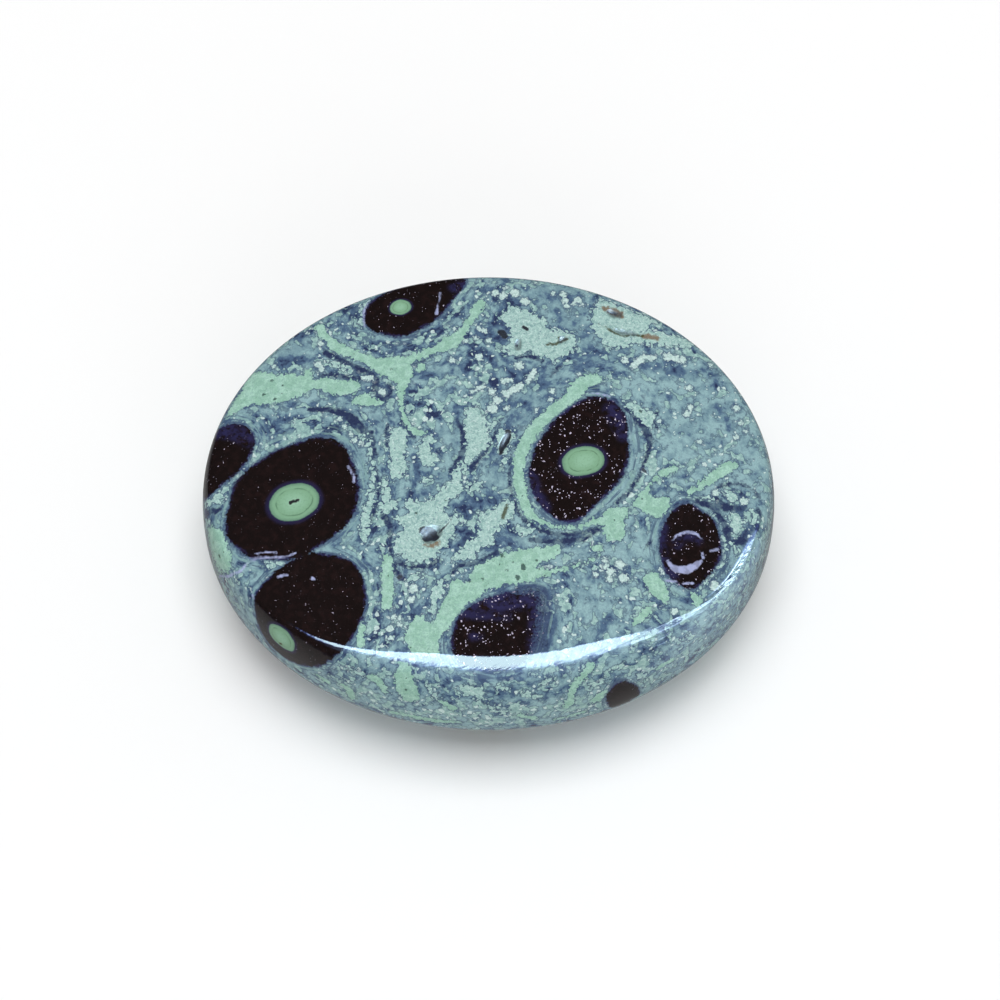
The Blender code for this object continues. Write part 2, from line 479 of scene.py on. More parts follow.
# Granular pale patches, as outlines and as lines, and one painted highlight among the lines
PALE_OUTLINES = (
    ((391, 431), (400, 424), (408, 433), (406, 446), (406, 457), (406, 469), (398, 479), (391, 478),
     (387, 465), (392, 455), (388, 444)),
    ((419, 444), (427, 434), (434, 434), (435, 442), (431, 446), (434, 453), (439, 456), (438, 462),
     (430, 466), (420, 463), (416, 453)),
    ((467, 409), (478, 407), (485, 416), (487, 426), (492, 438), (489, 447), (480, 454), (471, 463),
     (464, 472), (463, 480), (465, 491), (454, 499), (445, 512), (450, 517), (464, 516), (465, 522),
     (455, 526), (455, 535), (441, 553), (432, 561), (422, 563), (408, 561), (398, 557), (393, 550),
     (393, 539), (404, 530), (398, 525), (396, 518), (406, 516), (405, 507), (407, 498), (418, 501),
     (430, 498), (439, 489), (450, 478), (459, 464), (466, 452), (465, 438), (462, 423)),
    ((477, 511), (492, 510), (505, 500), (516, 507), (511, 519), (501, 527), (494, 541), (492, 546),
     (480, 550), (476, 559), (462, 561), (453, 561), (457, 553), (465, 541), (476, 534), (478, 526),
     (476, 518)),
    ((511, 527), (519, 524), (534, 527), (534, 533), (525, 535), (512, 531)),
    ((381, 480), (386, 480), (391, 498), (398, 503), (393, 512), (383, 514), (380, 503)),
    ((623, 399), (635, 401), (647, 410), (656, 412), (655, 428), (645, 426), (633, 415), (624, 405)),
    ((497, 316), (503, 312), (510, 305), (518, 308), (530, 311), (535, 314), (542, 316), (548, 320),
     (548, 327), (553, 330), (564, 329), (575, 334), (576, 342), (572, 351), (563, 358), (553, 363),
     (548, 359), (532, 355), (529, 352), (516, 357), (506, 352), (499, 349), (508, 345), (510, 336),
     (508, 327), (502, 322)),
    ((591, 310), (595, 302), (606, 296), (640, 300), (660, 315), (652, 326), (645, 329), (662, 331),
     (688, 340), (696, 346), (682, 349), (660, 346), (646, 344), (634, 344), (627, 348), (616, 349),
     (604, 345), (598, 337), (592, 327)),
    ((471, 481), (480, 480), (482, 487), (476, 493), (467, 492)),
    ((497, 434), (505, 428), (516, 432), (512, 440), (508, 452), (507, 465), (502, 464), (500, 455),
     (498, 446)),
    ((431, 588), (440, 578), (444, 588), (442, 598), (436, 604), (436, 615), (428, 615), (430, 602)),
    ((722, 494), (728, 489), (737, 496), (733, 505), (725, 500)),
    ((728, 515), (736, 513), (744, 518), (745, 526), (735, 535), (731, 528)),
    ((749, 511), (755, 512), (757, 522), (750, 525)),
    ((697, 514), (711, 513), (714, 518), (705, 523)),
    ((701, 579), (706, 570), (713, 566), (715, 572), (706, 580)),
)
PALE_LINES = (
    ((331, 361, 7), (340, 366, 8), (353, 372, 7)),
    ((365, 437, 5), (370, 450, 6), (373, 468, 7), (373, 486, 8), (369, 505, 9), (366, 522, 9),
     (365, 540, 8)),
    ((205, 503, 7), (216, 500, 9), (222, 493, 7), (228, 488, 5)),
    ((369, 300, 5), (362, 311, 6), (361, 326, 5)),
    ((412, 577, 9), (420, 575, 8)),
    ((488, 424, 6), (495, 426, 9), (501, 422, 6)),
    ((420, 482, 4), (428, 478, 6), (431, 477, 5)),
    ((465, 691, 14), (478, 693, 16)),
    ((486, 704, 7), (496, 709, 9), (506, 713, 7)),
    ((428, 688, 6), (437, 697, 9)),
    ((526, 694, 8), (539, 697, 6)),
    ((350, 668, 6), (360, 673, 8)),
    ((543, 684, 5), (552, 679, 6)),
    # Painted highlight: a small white glint on the flank, drawn as a pale patch
    ((498, 686, 6), (511, 688, 6)),
    ((612, 668, 5), (624, 664, 6)),
    ((680, 642, 5), (692, 636, 7)),
    ((592, 684, 7), (604, 681, 7)),
    ((640, 676, 9), (647, 679, 6)),
    ((612, 690, 7), (616, 687, 7)),
    ((728, 541, 4), (734, 547, 6), (740, 554, 6)),
    ((702, 499, 4), (712, 498, 4)),
    ((670, 580, 3), (675, 583, 4), (679, 585, 3)),
    ((264, 563, 6), (274, 564, 8), (283, 563, 6)),
    ((345, 481, 8), (352, 478, 6)),
    ((717, 523, 3), (723, 540, 4), (724, 553, 4), (720, 569, 4), (711, 580, 3), (698, 588, 3)),
)

# Single pale grains as (x, y, full width), and long ones as lines
GRAINS = (
    (274, 366, 5), (312, 328, 5), (308, 333, 4), (318, 365, 6), (321, 370, 6), (321, 343, 7),
    (383, 391, 8.5), (465, 341, 6), (476, 338, 5), (489, 341, 6), (479, 357, 8), (492, 392, 7),
    (482, 386, 5), (498, 400, 8), (494, 408, 9), (508, 394, 7), (495, 293, 7), (503, 296, 8), (506, 288, 5),
    (515, 293, 8), (525, 301, 9), (535, 283, 4), (554, 293, 5), (563, 294, 7), (565, 300, 6), (578, 300, 8),
    (567, 306, 6), (574, 304, 5), (582, 305, 5), (625, 360, 7), (580, 375, 5), (551, 391, 6), (550, 399, 5),
    (536, 410, 5), (519, 366, 9), (504, 394, 5), (493, 408, 9), (507, 408, 5), (414, 589, 9), (412, 600, 7),
    (393, 616, 6), (400, 617, 5), (408, 618, 4), (390, 628, 7), (392, 637, 5), (399, 624, 4), (605, 560, 6),
    (606, 566, 6), (611, 572, 7), (620, 565, 9), (623, 578, 9), (610, 579, 6), (596, 574, 5),
    (715, 586, 10), (674, 611, 7), (744, 501, 8), (716, 493, 7), (748, 547, 4), (750, 536, 4),
    (708, 535, 5), (340, 419, 5), (345, 427, 5), (350, 434, 5), (354, 440, 6), (361, 444, 6), (452, 360, 6),
    (645, 357, 7), (652, 358, 8), (668, 357, 10), (676, 359, 8), (683, 360, 8), (711, 365, 5),
    (690, 388, 6), (687, 413, 7), (691, 407, 7), (700, 442, 5), (736, 409, 7), (741, 422, 5), (736, 437, 6),
    (746, 431, 5), (727, 497, 5), (660, 421, 5),
)
LONG_GRAINS = (
    ((364, 378, 5), (372, 378, 5)), ((480, 329, 5), (487, 331, 4)), ((472, 392, 5), (480, 386, 5)),
    ((503, 381, 6), (510, 380, 5)), ((511, 391, 7), (520, 386, 9)), ((534, 371, 5), (528, 381, 6)),
    ((633, 365, 7), (641, 361, 8)), ((439, 295, 4), (438, 305, 3), (437, 315, 6)),
    ((545, 567, 4), (551, 567, 4)), ((661, 568, 3), (663, 574, 3)), ((222, 444, 5), (233, 440, 4)),
    ((246, 438, 3), (249, 433, 4)),
)

# Dark lines of (x, y, full width)
DARK_LINES = (
    ((310, 409, 4), (331, 410, 6), (345, 414, 9), (354, 422, 10), (362, 430, 9), (371, 440, 6),
     (373, 454, 3), (377, 474, 3), (378, 492, 3), (373, 515, 2.5), (368, 530, 2.5)),
    ((388, 425, 3), (386, 436, 3), (387, 446, 2)),
    ((402, 421, 2.5), (408, 431, 3), (414, 438, 2.5)),
    ((523, 434, 1.5), (514, 447, 2), (510, 462, 2.5), (509, 478, 2.5), (511, 495, 2.5), (516, 508, 3),
     (526, 520, 3.5), (541, 530, 3.5), (558, 534, 3), (580, 533, 3), (596, 529, 3), (603, 525, 2)),
    ((530, 539, 4), (548, 541, 5), (566, 540, 5), (584, 538, 4), (600, 530, 3)),
    ((393, 567, 3), (398, 562, 5), (405, 567, 3), (420, 566, 3.5), (432, 564, 4), (438, 559, 5)),
    ((453, 572, 3), (462, 565, 4), (477, 563, 4), (490, 558, 5), (498, 552, 5)),
    ((551, 376, 2), (560, 367, 4)),
    ((516, 359, 2), (531, 357, 3), (543, 361, 3)),
    ((413, 364, 3), (419, 361, 2.5), (425, 360, 3)),
    ((325, 353, 6), (340, 360, 6), (358, 369, 6), (375, 379, 7), (377, 390, 5), (384, 399, 5),
     (391, 392, 4), (389, 384, 3)),
    ((321, 376, 3), (333, 375, 3), (345, 378, 4), (360, 379, 4)),
    ((203, 514, 7), (213, 512, 5), (222, 510, 2)),
    ((612, 398, 4), (624, 408, 3), (636, 419, 5), (645, 430, 8), (650, 442, 5), (646, 458, 3),
     (640, 474, 3), (630, 490, 3), (618, 503, 2.5)),
    ((657, 413, 3), (653, 420, 3), (657, 428, 2.5)),
    ((718, 487, 3), (729, 484, 3), (744, 485, 3), (754, 491, 3), (759, 498, 2)),
    ((698, 501, 5), (712, 506, 7), (720, 518, 6), (727, 530, 7), (730, 542, 6), (742, 541, 7),
     (754, 531, 7), (759, 519, 4), (757, 509, 3)),
    ((715, 497, 6), (724, 507, 8), (739, 509, 6), (746, 503, 3), (741, 494, 3)),
    ((652, 540, 1.5), (648, 545, 2)),
    ((457, 420, 4), (463, 433, 5), (464, 446, 5), (460, 459, 5), (452, 471, 5)),
    ((498, 430, 3), (488, 449, 3), (480, 458, 4), (473, 468, 5)),
    ((371, 432, 3), (373, 448, 2.5), (377, 455, 2)),
    ((382, 515, 4), (389, 525, 5), (391, 545, 3), (391, 562, 4)),
    ((392, 570, 3), (399, 577, 6), (403, 580, 3)),
)

# Small dark-green dots in the mint, (x, y, full width)
GREEN_DOTS = (
    (272, 381, 4), (283, 386, 3.5), (281, 394, 3.5), (275, 399, 4), (263, 395, 3), (391, 369, 3.5),
    (388, 376, 3), (502, 556, 5), (483, 579, 4), (506, 571, 4), (523, 567, 7), (518, 578, 6), (470, 582, 4),
    (213, 542, 4), (219, 555, 5), (536, 560, 3), (494, 562, 3), (512, 563, 3), (640, 411, 4), (447, 500, 3),
    (416, 514, 4), (608, 534, 3), (406, 690, 3), (398, 696, 3),
)

# Zones of the ground between the marks: share of grains from 0 to 1, tone from about -1, navy, to 1,
# pale slate, softness of the edge, and a line of (x, y, full width)
ZONES = (
    (0.35, 0.45, 2.0, ((640, 390, 40), (690, 420, 90), (725, 455, 80), (750, 540, 50))),
    (0.05, 0.75, 0.8, ((662, 452, 8), (685, 440, 10), (712, 424, 8))),
    (0.05, -0.5, 0.8, ((668, 436, 6), (690, 424, 8), (716, 404, 6))),
    (0.9, 0.5, 0.8, ((700, 462, 14), (728, 448, 16))),
    (0.1, -0.4, 0.8, ((690, 392, 6), (714, 384, 6))),
    (0.7, -1.1, 0.7, ((716, 496, 10), (734, 506, 14), (747, 522, 14), (738, 540, 10))),
    (0.5, -1.0, 0.8, ((500, 292, 18), (514, 302, 14), (500, 316, 10))),
    (0.3, -0.9, 0.8, ((468, 338, 12), (476, 352, 14), (488, 362, 12))),
    (0.15, -0.1, 1.2, ((540, 290, 24), (570, 312, 40), (588, 335, 30))),
    (0.1, -0.45, 0.9, ((582, 362, 18), (620, 358, 16), (655, 370, 12), (700, 376, 12))),
    (0.15, -0.25, 1.2, ((553, 378, 22), (530, 405, 24), (512, 436, 14))),
    (0.05, -0.05, 1.0, ((498, 462, 18), (500, 480, 22))),
    (0.1, -1.0, 0.8, ((462, 508, 8), (476, 502, 12), (494, 498, 12))),
    (0.05, -0.9, 0.5, ((478, 526, 6), (470, 536, 7), (460, 545, 6))),
    (0.2, -0.75, 0.8, ((505, 534, 12), (520, 541, 8), (490, 552, 6))),
    (0.05, 0.15, 0.6, ((450, 424, 10), (455, 436, 14), (455, 450, 14), (447, 466, 10))),
    (0.3, -0.2, 1.0, ((400, 488, 10), (415, 478, 14), (435, 478, 14))),
    (0.1, -0.8, 0.7, ((414, 495, 8), (432, 486, 6))),
    (0.1, -0.7, 0.8, ((416, 376, 8), (432, 374, 9), (448, 376, 8))),
    (0.5, 0.15, 1.0, ((452, 358, 14), (460, 380, 22), (462, 398, 16))),
    (0.95, -0.95, 0.8, ((414, 398, 12), (418, 412, 20), (430, 408, 18))),
    (0.15, -0.9, 0.8, ((484, 334, 14), (498, 336, 18), (504, 308, 10))),
    (0.1, -0.9, 0.7, ((512, 376, 12), (522, 372, 12), (520, 381, 8))),
    (0.5, -0.3, 1.5, ((478, 370, 20), (495, 400, 20), (500, 415, 12))),
    (0.1, -0.85, 0.8, ((280, 364, 7), (296, 362, 9), (310, 360, 7))),
    (0.05, 0.1, 0.8, ((284, 352, 14), (305, 346, 16))),
    (0.1, -0.9, 0.6, ((298, 336, 8), (310, 330, 8))),
    (0.4, -0.3, 1.2, ((225, 420, 12), (262, 422, 22), (300, 412, 16))),
    (0.9, -0.5, 0.9, ((300, 424, 14), (320, 424, 24), (335, 430, 12))),
    (0.3, -0.45, 0.8, ((334, 322, 14), (345, 330, 14), (352, 338, 10))),
    (0.1, -1.0, 0.8, ((346, 308, 14), (358, 318, 8))),
    (0.55, -0.7, 0.7, ((362, 340, 12), (380, 348, 14), (402, 348, 14), (425, 340, 12), (448, 324, 14),
        (462, 308, 12))),
    (0.45, -0.3, 0.6, ((489, 589, 5), (503, 592, 8), (520, 588, 6), (545, 580, 8), (562, 577, 8))),
    (0.35, -1.3, 1.8, ((556, 588, 12), (547, 602, 16), (545, 620, 16), (543, 644, 14))),
    (0.05, -0.2, 1.0, ((556, 612, 8), (555, 628, 8), (552, 646, 8))),
    (1.0, 0.3, 1.2, ((562, 596, 14), (570, 612, 18), (572, 628, 16), (566, 642, 14))),
    (0.15, 0.4, 1.5, ((595, 598, 34), (585, 628, 20))),
    (0.1, -0.3, 1.0, ((606, 617, 10), (596, 636, 10))),
    (0.05, 0.4, 1.2, ((622, 552, 20), (645, 544, 24))),
    (0.85, -0.15, 1.5, ((612, 572, 26), (636, 588, 30), (648, 606, 20))),
    (0.5, -0.4, 1.5, ((398, 590, 20), (404, 622, 30), (390, 640, 20))),
    (0.7, -0.4, 1.2, ((378, 520, 14), (376, 560, 20), (372, 600, 20), (374, 640, 20))),
    (0.9, 0.2, 0.4, ((235, 479, 8), (248, 467, 9), (264, 454, 11), (282, 444, 10), (300, 437, 7))),
    (0.0, 0.0, 0.5, ((345, 437, 8), (358, 452, 8), (364, 468, 7), (366, 487, 8), (362, 508, 9),
        (352, 526, 10), (335, 543, 14), (316, 556, 12), (296, 565, 9), (272, 569, 5))),
    (0.0, 0.05, 0.5, ((316, 562, 10), (332, 574, 9), (344, 592, 9), (349, 610, 9), (351, 630, 9),
        (351, 646, 9))),
    (0.05, 0.2, 0.4, ((622, 414, 7), (632, 432, 10), (637, 452, 13), (634, 472, 13), (624, 490, 12),
        (608, 508, 9))),
    (0.9, 0.35, 1.0, ((652, 450, 14), (640, 485, 14), (620, 505, 10))),
    (0.3, 0.35, 0.8, ((560, 556, 10), (585, 554, 10), (570, 562, 8))),
    (0.05, -0.3, 0.4, ((700, 508, 10), (708, 511, 8))),
    (0.1, -0.2, 0.6, ((664, 512, 8), (656, 528, 8), (653, 548, 8), (657, 568, 8), (668, 582, 6))),
    # Partly the flank's own pale grains and partly painted reflection: this zone lightens the whole lower
    # flank
    (0.9, 0.9, 2.0, ((330, 684, 16), (400, 706, 24), (480, 716, 26), (560, 710, 24), (640, 686, 18))),
)
ZONE_REST = 0.2  # weight of the plain ground, where a zone's own is 1
ZONE_REST_GRAINS = 0.5  # share of grains of the plain ground

# Thin lavender and white lines in and beside the orbs
LAVENDER_LINES = (
    ((672, 541, 1.5), (678, 535, 3), (687, 532, 3.5), (696, 534, 3), (703, 540, 1.5)),
    ((668, 561, 2.5), (674, 568, 6), (684, 570, 8), (694, 567, 7), (701, 561, 4)),
    ((702, 552, 3), (703, 557, 3)),
    ((247, 559, 2), (260, 558, 2.5), (274, 557, 3), (285, 557, 2.5), (296, 553, 2)),
    ((255, 554, 2), (266, 552, 2.5), (277, 552, 2)),
    ((219, 577, 2.5), (230, 575, 3), (241, 571, 3), (246, 564, 2.5), (257, 561, 2)),
    ((277, 577, 3), (287, 575, 3)),
    ((666, 581, 3), (676, 582, 3)),
    ((683, 584, 3), (692, 583, 3)),
    ((711, 551, 3), (719, 550, 3)),
    ((588, 394, 1.5), (600, 393, 2), (610, 396, 2)),
    ((440, 293, 2.5), (438, 304, 2), (437, 314, 3.5)),
    ((370, 299, 1.5), (365, 308, 2.5), (363, 319, 2.5), (365, 328, 1.5)),
    ((348, 466, 2), (353, 476, 3), (354, 484, 2)),
    ((312, 578, 4), (314, 579, 4)),
    ((253, 595, 3), (254, 598, 3)),
)

# Openings and stains
BLACK_LINES = (
    ((423, 530, 8), (430, 532, 12), (437, 538, 8)),
    ((426, 540, 7), (433, 538, 8)),
    ((440, 531, 3), (447, 525, 2), (452, 519, 2)),
    ((509, 432, 5), (507, 440, 8), (503, 447, 7), (501, 454, 3)),
    ((524, 327, 4.5), (526, 329, 4.5)),
    ((519, 339, 2), (517, 347, 2.5)),
    ((607, 311, 3), (617, 315, 3)),
    ((501, 332, 7), (505, 336, 6)),
    ((291, 503, 3.5), (298, 500, 4)),
    ((644, 470, 4), (646, 473, 3)),
    ((398, 578, 4), (400, 577, 4)),
)
OLIVE_LINES = (
    ((508, 505, 3), (503, 517, 4)),
    ((559, 338, 4), (567, 339, 4)),
    ((547, 345, 4), (556, 344, 4)),
    ((556, 344, 2), (561, 341, 3)),
    ((599, 325, 2), (607, 328, 3), (616, 333, 3), (625, 336, 3), (630, 335, 3), (643, 336, 3)),
    ((280, 644, 3), (282, 644, 3)),
)
RUST_LINES = (
    ((604, 308, 6), (613, 312, 8), (622, 317, 6)),
    ((644, 336, 5), (657, 338, 6)),
    ((427, 545, 4), (434, 546, 5), (439, 542, 4)),
)

# Where the orbs are indigo instead of black
INDIGO_LINES = (
    ((212, 432, 18), (232, 432, 16), (248, 440, 14)),
    ((236, 582, 16), (246, 594, 14)),
    ((468, 609, 14), (488, 604, 18), (512, 600, 20), (532, 600, 20), (538, 614, 16), (535, 632, 12),
     (533, 648, 10)),
    ((474, 636, 8), (478, 636, 7)),
    ((664, 526, 9), (661, 545, 12), (664, 562, 10), (674, 576, 7)),
    ((676, 546, 7), (686, 536, 6), (699, 541, 6)),
    ((455, 616, 6), (480, 615, 6), (508, 617, 6)),
    ((531, 478, 12), (536, 495, 14), (545, 507, 10)),
    ((612, 410, 16), (624, 436, 10)),
    ((455, 288, 12), (466, 283, 12)),
)
INDIGO_SOFTNESS = 0.9

# Where an orb's edge fades into the ground
BLURRED_EDGES = (
    ((520, 590, 10), (540, 592, 18), (545, 608, 20), (543, 628, 20), (540, 650, 20)),
)
BLUR_SOFTNESS = 1.2

PIT_SHADE_DEPTH = 0.1  # depth from which the painted shade in a pit is at its darkest
WANDER = ((2.6, 0.16), (0.9, 0.07))  # size and reach of the noises that make drawn outlines wander
WANDER_SEED = 1

# Orbs of the sides that the photograph doesn't show: direction from the stone's middle as azimuth
# and elevation in degrees, radius, radius of the core or 0 for none, and how full of specks they are
HIDDEN_ORBS = (
    (72, -8, 4.6, 1.8, 0.5),
    (128, -18, 5.4, 2.2, 0.9),
    (40, -6, 3.6, 1.4, 0.4),
    (25, -30, 4.0, 1.5, 0.3),
    (182, -42, 4.8, 2.0, 0.4),
    (232, -50, 3.9, 0.0, 0.8),
    (300, -46, 5.0, 2.1, 0.35),
    (5, -55, 3.0, 0.0, 0.9),
    (95, -68, 4.2, 1.6, 0.6),
    (352, -14, 4.2, 1.7, 0.5),
    (205, -12, 4.4, 0.0, 0.8),
    (268, -20, 4.4, 1.6, 0.6),
)
HIDDEN_ORB_SQUEEZE = (0.9, 1.1, 1.0)  # more than 1 makes them narrower along that axis
AWAY_FROM, AWAY_FULL = 0.02, -0.1  # cosines between which the surface turns from shown to hidden

# Mint rings, mint bands and pale patches of those sides
RING_GAP = 1.3
RING_HALF_WIDTH = 0.6
BAND_SPACING = 5.5
BAND_HALF_WIDTH = 0.35
PATCH_SPACING = 3.4
RAGGED_SIZE = 2.2

# Fine polishing marks: where round the stone they are strongest, and their share elsewhere
BRUSHED_MIDDLE = math.radians(-33.0)
BRUSHED_FULL = math.radians(8.0)  # this far each side of BRUSHED_MIDDLE they stay at their strongest
BRUSHED_FADE = math.radians(14.0)
BRUSHED_ALL_ROUND = 0.12
BRUSHED_EDGE = 0.6  # width over which they set in at the face's edge


def smooth_line(knots, closed=False, steps=4):
    """More points along a smooth curve through the knots."""
    knots = np.array(knots, float)
    if closed:
        before, start, end, after = (np.roll(knots, turn, axis=0) for turn in (1, 0, -1, -2))
    else:
        padded = np.concatenate([knots[:1], knots, knots[-1:]])
        before, start, end, after = padded[:-3], padded[1:-2], padded[2:-1], padded[3:]
    share = (np.arange(steps) / steps)[None, :, None]
    before, start, end, after = (side[:, None, :] for side in (before, start, end, after))
    curve = 0.5 * (
        2.0 * start
        + (end - before) * share
        + (2.0 * before - 5.0 * start + 4.0 * end - after) * share**2
        + (3.0 * start - before - 3.0 * end + after) * share**3
    )
    curve = curve.reshape(-1, knots.shape[1])
    return curve if closed else np.concatenate([curve, knots[-1:]])


def wandered(places):
    """The places moved a little by smooth noise, so that drawn outlines look grown."""
    noise.seed_set(WANDER_SEED)  # noise_vector depends on it
    moved = places.copy()
    for size, reach in WANDER:
        moved += [reach * noise.noise_vector(Vector(place) / size) for place in places]
    return moved


places = wandered(points)


def near_mark(spots):
    """Which vertices lie so near a mark that their distance from it matters."""
    return np.all((places > spots.min(0) - FAR) & (places < spots.max(0) + FAR), axis=1)


def leg_gap(nearby, start, end):
    """Distance of places from a straight leg, and the share of it at which they are nearest."""
    leg = end - start
    share = np.clip((nearby - start) @ leg / max(leg @ leg, TINY), 0.0, 1.0)
    return np.linalg.norm(nearby - start - share[:, None] * leg, axis=1), share


def stroke_distance(line):
    """Distance of every vertex from the edge of a drawn line of (x, y, full width)."""
    drawn = smooth_line(line) if len(line) > 1 else line
    spots = [(seen_on_stone(x, y)[0], 0.5 * width / PIXELS_PER_MM) for x, y, width in drawn]
    spots = [(np.array(spot), half) for spot, half in spots if spot is not None]
    near = near_mark(np.array([spot for spot, half in spots]))
    nearby = places[near]
    best = np.full(len(nearby), FAR)
    for (start, start_half), (end, end_half) in zip(spots, spots[1:] or spots):
        gap, share = leg_gap(nearby, start, end)
        best = np.minimum(best, gap - start_half - share * (end_half - start_half))
    distance = np.full(len(places), FAR)
    distance[near] = best
    return distance


def patch_distance(outline):
    """Distance of every vertex from an outline on the face, negative inside it."""
    spots = [seen_on_stone(x, y)[0] for x, y in smooth_line(outline, closed=True, steps=2)]
    spots = np.array([spot for spot in spots if spot is not None])
    near = near_mark(spots)
    flat = places[near][:, :2]
    inside = np.zeros(len(flat), bool)
    best = np.full(len(flat), FAR)
    for start, end in zip(spots[:, :2], np.roll(spots[:, :2], -1, axis=0)):
        best = np.minimum(best, leg_gap(flat, start, end)[0])
        straddles = (start[1] > flat[:, 1]) != (end[1] > flat[:, 1])
        across, up = end - start
        inside ^= straddles & (flat[:, 0] < start[0] + (flat[:, 1] - start[1]) * across / (up or TINY))
    distance = np.full(len(places), FAR)
    distance[near] = np.where(inside, -best, best)
    return distance


class Orb:
    """A ball of dark rock, cut open by the surface where its outline is drawn."""

    def __init__(self, marks):
        outline = smooth_line(marks["body"], closed=True)
        middle = outline.mean(axis=0) if marks["core"] is None else np.array(marks["core"][:2])
        self.origin, normal = seen_on_stone(*middle)
        if normal.dot(LOOK_BACK) < 0.0:
            normal = -normal
        right = (on_plane(middle[0] + 1.0, middle[1], self.origin, normal) - self.origin).normalized()
        self.axes = np.array([right, normal.cross(right), normal])
        rim = [on_plane(x, y, self.origin, normal) - self.origin for x, y in outline]
        rim = np.array(rim) @ self.axes.T
        turn = np.arctan2(rim[:, 1], rim[:, 0])
        order = np.argsort(turn)
        self.turns, self.reaches = turn[order], np.hypot(rim[:, 0], rim[:, 1])[order]
        self.depth = self.reaches.mean()
        self.core = marks["core"]

    def local(self):
        """Every vertex seen from the orb's middle: across, up and out of the surface."""
        return ((places - np.array(self.origin)) @ self.axes.T).T

    def body_distance(self):
        """Distance of every vertex from the body's edge, negative inside."""
        across, up, out = self.local()
        reach = np.interp(np.arctan2(up, across), self.turns, self.reaches, period=math.tau)
        return np.sqrt(across**2 + up**2 + (out * reach / self.depth) ** 2) - reach

    def core_share(self):
        """Distance of every vertex from the core's middle, as a share of the core's size."""
        if self.core is None:
            return np.full(len(places), FAR)
        half_length, half_width = self.core[2] / PIXELS_PER_MM, self.core[3] / PIXELS_PER_MM
        across, up, out = self.local()
        along, athwart = turned(across, up, self.core[4])
        return np.sqrt((along / half_length) ** 2 + (athwart / half_width) ** 2 + (out / half_length) ** 2)


def hidden_orb(azimuth, elevation, radius, core_radius):
    """Body distance and core share, as an Orb gives them, of one on a side that isn't shown."""
    middle = Vector((0.0, 0.0, GIRDLE_HEIGHT))
    centre = np.array(surface.ray_cast(middle, direction(azimuth, elevation))[0])
    gap = np.linalg.norm((places - centre) * HIDDEN_ORB_SQUEEZE, axis=1)
    core = gap / core_radius if core_radius else np.full(len(places), FAR)
    return gap - radius, core


def nearest(distances):
    """Smallest of several distance fields at every vertex."""
    return np.minimum.reduce(list(distances))


def strokes(lines):
    """Distance of every vertex from the nearest of several drawn lines."""
    return nearest(stroke_distance(line) for line in lines)


def dots(spots):
    """Distance of every vertex from the nearest of several round marks of (x, y, full width)."""
    return strokes([spot] for spot in spots)


def outlines(shapes):
    """Distance of every vertex from the nearest of several outlines, negative inside."""
    return nearest(patch_distance(outline) for outline in shapes)


def soft_share(distance, softness):
    """1 inside a mark and 0 outside it, with a soft edge."""
    return smoothstep(0.5 - distance / softness)


def grown(size):
    """Smooth noise from -1 to 1 at every vertex, with features of about this size."""
    return np.array([noise.noise(Vector(place) / size) for place in places])


def turned_away():
    """1 where the surface can't be seen in the photograph, and 0 where it can."""
    first, second, third = (points[triangles[:, corner]] for corner in range(3))
    across = np.cross(second - first, third - first)
    normals = np.zeros_like(points)
    for corner in range(3):
        np.add.at(normals, triangles[:, corner], across)
    normals /= np.linalg.norm(normals, axis=1, keepdims=True)
    return smoothstep((AWAY_FROM - normals @ np.array(LOOK_BACK)) / (AWAY_FROM - AWAY_FULL))


def hidden_marks(hidden_body):
    """Distances from the mint bands and pale patches that are made up where the photo shows nothing."""
    shown = FAR * (1.0 - turned_away())
    broad, ragged = grown(BAND_SPACING), grown(RAGGED_SIZE)
    ring = np.abs(hidden_body - RING_GAP) - RING_HALF_WIDTH * np.clip(broad + 0.45, 0.0, 1.0)
    band = 5.0 * np.abs(broad + 0.15) - BAND_HALF_WIDTH - 0.4 * ragged
    patch = 4.0 * (0.22 - grown(PATCH_SPACING)) + 0.5 * ragged
    return nearest([ring, band]) + shown, patch + shown


def ground_zones():
    """Share of grains, and tone from -1, navy, to 1, pale slate, of the ground at every vertex."""
    weight = np.full(len(places), ZONE_REST)
    grains = ZONE_REST_GRAINS * weight
    tone = 0.0 * weight
    for share, shade, softness, line in ZONES:
        pull = soft_share(stroke_distance(line), softness)
        weight += pull
        grains += share * pull
        tone += shade * pull
    return grains / weight, tone / weight


def pit_shade_share():
    """1 where the painted shade in a pit is at its darkest, and 0 outside the pits."""
    share = smoothstep(pit_drop(points[:, 0], points[:, 1]) / PIT_SHADE_DEPTH)
    return share * (points[:, 2] > GIRDLE_HEIGHT)


def brushed_share():
    """How much of the fine polishing marks each vertex has: most on the right shoulder."""
    angle = np.arctan2(points[:, 1], points[:, 0])
    edge = ellipse_radius(angle, HALF_LENGTH, HALF_WIDTH) - shoulder_inset(angle)
    off_face = soft_share(edge - np.hypot(points[:, 0], points[:, 1]), BRUSHED_EDGE)
    beside = 1.0 - smoothstep((turn_between(angle, BRUSHED_MIDDLE) - BRUSHED_FULL) / BRUSHED_FADE)
    high, low = (smoothstep((points[:, 2] / HEIGHT - start) / 0.15) for start in (0.6, 0.3))
    return off_face * (BRUSHED_ALL_ROUND * high + (1.0 - BRUSHED_ALL_ROUND) * low * beside)


